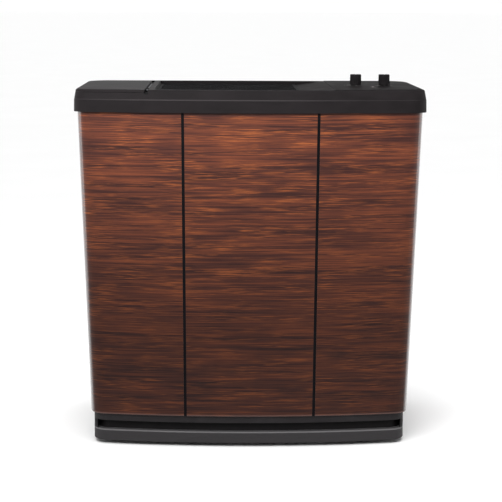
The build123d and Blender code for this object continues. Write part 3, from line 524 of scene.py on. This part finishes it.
def make_wick():
    """Honeycomb wick: an upright ring of paper with diamond cells pressed into it."""
    outer = rounded_loop(*wick_outside, wick_around)
    inner = rounded_loop(*wick_inside, wick_around)
    points = []
    cell_depths = []
    last_outer, last_inner = wick_outer_rows - 1, wick_inner_rows - 1
    rows = [(outer, -1, row / last_outer) for row in range(wick_outer_rows)]
    rows += [(inner, 1, 1 - row / last_inner) for row in range(wick_inner_rows)]
    for loop, inwards, share in rows:
        height = wick_bottom + share * (wick_top - wick_bottom)
        ends = min(1.0, (height - wick_bottom) / wick_end, (wick_top - height) / wick_end)
        for step, (place, outward) in enumerate(loop):
            across = wick_cells_around * step / wick_around
            upward = height / wick_cell_height
            cell = abs(sin(pi * (across + upward)) * sin(pi * (across - upward)))
            cell = min(1.0, 1.6 * cell)
            crease = 0.15 * noise.noise(Vector((place.x, place.y, height)) / 9)
            sink = wick_relief * ends * min(1.0, max(0.0, cell + crease))
            spot = place + outward * (inwards * sink)
            points.append((spot.x + wick_x, spot.y, height))
            cell_depths.append(cell)
    wick = make_piece(
        "wick", points, wrapped_rows(len(rows), wick_around), looks["wick_paper"]
    )
    attribute = wick.data.attributes.new("cell", "FLOAT", "POINT")
    attribute.data.foreach_set("value", cell_depths)
    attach(wick, "cabinet")
    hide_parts("wick_pad")


filter_half_x, filter_half_z = 152.4, 102.4
filter_middle_y, filter_middle_z = 157.25, 435
filter_half_depth = 6.2
filter_columns, filter_levels = 92, 62


def make_filter():
    """Foam filter: a crowned slab whose edges are pinched by its tray."""
    columns, levels = filter_columns, filter_levels
    points = []
    for face in (-1, 1):
        for level in range(levels + 1):
            for column in range(columns + 1):
                u = 2 * column / columns - 1
                v = 2 * level / levels - 1
                crown = ((1 - abs(u) ** 12) * (1 - abs(v) ** 9)) ** 0.4
                x, z = u * filter_half_x, v * filter_half_z
                lump = noise.noise(Vector((x, z, 40 * face)) / 23)
                crumb = noise.noise(Vector((x, z, 40 * face)) / 4)
                depth = crown * (filter_half_depth - 0.5 - 0.5 * lump - 0.35 * abs(crumb))
                points.append((x, filter_middle_y + face * depth, filter_middle_z + z))
    row = columns + 1
    sheet = row * (levels + 1)
    faces = []
    for level in range(levels):
        for column in range(columns):
            near = level * row + column
            quad = (near, near + 1, near + 1 + row, near + row)
            faces.append(quad)
            faces.append(tuple(sheet + corner for corner in reversed(quad)))
    pad = make_piece("filter", points, faces, looks["filter_foam"])
    weld = pad.modifiers.new("weld", "WELD")
    weld.merge_threshold = 0.01 * mm
    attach(pad, "cabinet")
    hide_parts("air_filter")


print_low, print_high = 616.8, 616.86
tick_inner, tick_outer = 12.5, 15.5
figure_radius, figure_unit, stroke_width = 19.5, 0.8, 0.55


def print_look():
    """Pale grey ink, slightly rubbed."""
    look = Look("dial_print", Roughness=0.6, Specular_IOR_Level=0.2)
    rub = look.noise(look.stretch((3 * mm,) * 3), 4.0, 0.7)
    grain = look.noise(look.stretch((0.3 * mm,) * 3), 2.0)
    share = look.blend_of((rub, 0.7), (grain, 0.3))
    ink = look.ramp(share, [(0.38, (0.20, 0.19, 0.185)), (0.55, (0.42, 0.41, 0.39))])
    return look.finish(Base_Color=ink, Normal=look.bump(grain, 0.02 * mm, 0.6))


class Print:
    """Flat raised strips, collected into one mesh."""

    def __init__(self):
        self.points = []
        self.faces = []

    def strip(self, outline):
        """Thin plate over an anticlockwise outline of (x, y) points."""
        start, count = len(self.points), len(outline)
        for height in (print_low, print_high):
            self.points += [(x, y, height) for x, y in outline]
        self.faces.append(tuple(range(start + count, start + 2 * count)))
        self.faces.append(tuple(reversed(range(start, start + count))))
        for step in range(count):
            after = (step + 1) % count
            self.faces.append(
                (start + step, start + after, start + count + after, start + count + step)
            )

    def bar(self, a, b, width):
        """Straight bar between two points."""
        a, b = Vector(a), Vector(b)
        side = (b - a).normalized().orthogonal() * (width / 2)
        self.strip([tuple(a - side), tuple(b - side), tuple(b + side), tuple(a + side)][::-1])

    def tick(self, knob_x, turn, width):
        """Radial tick at a clockwise turn, in degrees, from the front."""
        away = Vector((-sin(radians(turn)), -cos(radians(turn))))
        centre = Vector((knob_x, 0))
        self.bar(centre + away * tick_inner, centre + away * tick_outer, width)


# Strokes of the speed dial's figures, on a grid 2 wide and 4 high
figure_strokes = {
    "0": [((0, 0), (2, 0)), ((2, 0), (2, 4)), ((2, 4), (0, 4)), ((0, 4), (0, 0))],
    "1": [((1, 0), (1, 4)), ((0.2, 3.2), (1, 4))],
    "2": [((0, 4), (2, 4)), ((2, 4), (2, 2)), ((2, 2), (0, 2)), ((0, 2), (0, 0)), ((0, 0), (2, 0))],
    "3": [((0, 4), (2, 4)), ((2, 4), (2, 0)), ((0, 2), (2, 2)), ((0, 0), (2, 0))],
}
speed_x, humidity_x = 188.5, 239
speed_step = 45  # degrees from one speed to the next
humidity_ticks = 11
humidity_turn = 270


def make_dials():
    """Ticks and figures printed round the two knobs."""
    dials = Print()
    for figure, strokes in figure_strokes.items():
        turn = speed_step * int(figure)
        dials.tick(speed_x, turn, 0.8)
        middle_x = speed_x - figure_radius * sin(radians(turn))
        middle_y = -figure_radius * cos(radians(turn))
        for stroke in strokes:
            ends = [
                (middle_x + (x - 1) * figure_unit, middle_y + (y - 2) * figure_unit)
                for x, y in stroke
            ]
            dials.bar(*ends, stroke_width)
    for step in range(humidity_ticks):
        turn = humidity_turn * step / (humidity_ticks - 1)
        dials.tick(humidity_x, turn, 0.5 + 0.06 * step)
    ink = make_piece("dial_print", dials.points, dials.faces, print_look(), False)
    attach(ink, "top_deck")


make_wick()
make_filter()
make_dials()


# ---- Camera, lights and floor ----

eye = Vector((-0.0494, -2.9796, 0.7631))
pitch, yaw, roll = 0.148, 0.018, 0.0046
forward = Vector((sin(yaw) * cos(pitch), cos(yaw) * cos(pitch), -sin(pitch)))
level = forward.cross(Vector((0, 0, 1))).normalized()
upright = level.cross(forward)
right = level * cos(roll) + upright * sin(roll)
up = upright * cos(roll) - level * sin(roll)

camera_data = bpy.data.cameras.new("camera")
camera_data.sensor_width = 36
camera_data.lens = 120
camera = bpy.data.objects.new("camera", camera_data)
camera.matrix_world = Matrix(
    [
        (right.x, up.x, -forward.x, eye.x),
        (right.y, up.y, -forward.y, eye.y),
        (right.z, up.z, -forward.z, eye.z),
        (0, 0, 0, 1),
    ]
)
bpy.context.scene.collection.objects.link(camera)
bpy.context.scene.camera = camera


def area_light(name, place, target, size, power, spread=180):
    data = bpy.data.lights.new(name, "AREA")
    data.spread = radians(spread)
    data.shape = "RECTANGLE"
    data.size, data.size_y = size
    data.energy = power
    lamp = bpy.data.objects.new(name, data)
    lamp.location = place
    lamp.rotation_mode = "QUATERNION"
    lamp.rotation_quaternion = (Vector(target) - Vector(place)).to_track_quat("-Z", "Y")
    bpy.context.scene.collection.objects.link(lamp)


area_light("key", (-0.40, -1.15, 1.05), (-0.05, -0.17, 0.60), (1.5, 0.25), 5, 80)
area_light("side_right", (1.9, 0.1, 0.7), (0.25, 0, 0.35), (1.2, 1.4), 7)
area_light("side_left", (-1.9, 0.3, 0.7), (-0.25, 0, 0.35), (0.8, 1.4), 6)

sun_data = bpy.data.lights.new("overhead", "SUN")
sun_data.energy = 2.8
sun_data.angle = radians(40)
sun = bpy.data.objects.new("overhead", sun_data)
sun.rotation_mode = "QUATERNION"
sun.rotation_quaternion = Vector((0, 0.12, -1)).to_track_quat("-Z", "Y")
bpy.context.scene.collection.objects.link(sun)

world = bpy.data.worlds.new("studio")
world.use_nodes = True
world.node_tree.nodes["Background"].inputs["Color"].default_value = (1, 1, 1, 1)
world.node_tree.nodes["Background"].inputs["Strength"].default_value = 0.12
bpy.context.scene.world = world
bpy.context.scene.view_settings.view_transform = "Standard"

floor_look = Look("studio_floor", Roughness=0.9, Specular_IOR_Level=0.1)
floor_tone = floor_look.noise(floor_look.stretch((0.5, 0.5, 0.5)), 3.0)
floor_stops = [(0.3, (0.945, 0.945, 0.945)), (0.7, (0.96, 0.96, 0.96))]
floor_look.finish(Base_Color=floor_look.ramp(floor_tone, floor_stops))
floor_mesh = bpy.data.meshes.new("studio_floor")
# A flat floor that rises gently into a distant rim
floor_radius, rim_radius, rim_height = 120, 1200, 300
rim_steps = 48
rim_angles = [2 * pi * step / rim_steps for step in range(rim_steps)]
rings = ((floor_radius, 0), (rim_radius, rim_height))
floor_points = [(r * cos(a), r * sin(a), z) for r, z in rings for a in rim_angles]
floor_faces = [tuple(range(rim_steps))]
for step in range(rim_steps):
    after = (step + 1) % rim_steps
    floor_faces.append((step, after, after + rim_steps, step + rim_steps))
floor_mesh.from_pydata(floor_points, [], floor_faces)
floor_mesh.materials.append(floor_look.material)
floor = bpy.data.objects.new("studio_floor", floor_mesh)
bpy.context.scene.collection.objects.link(floor)
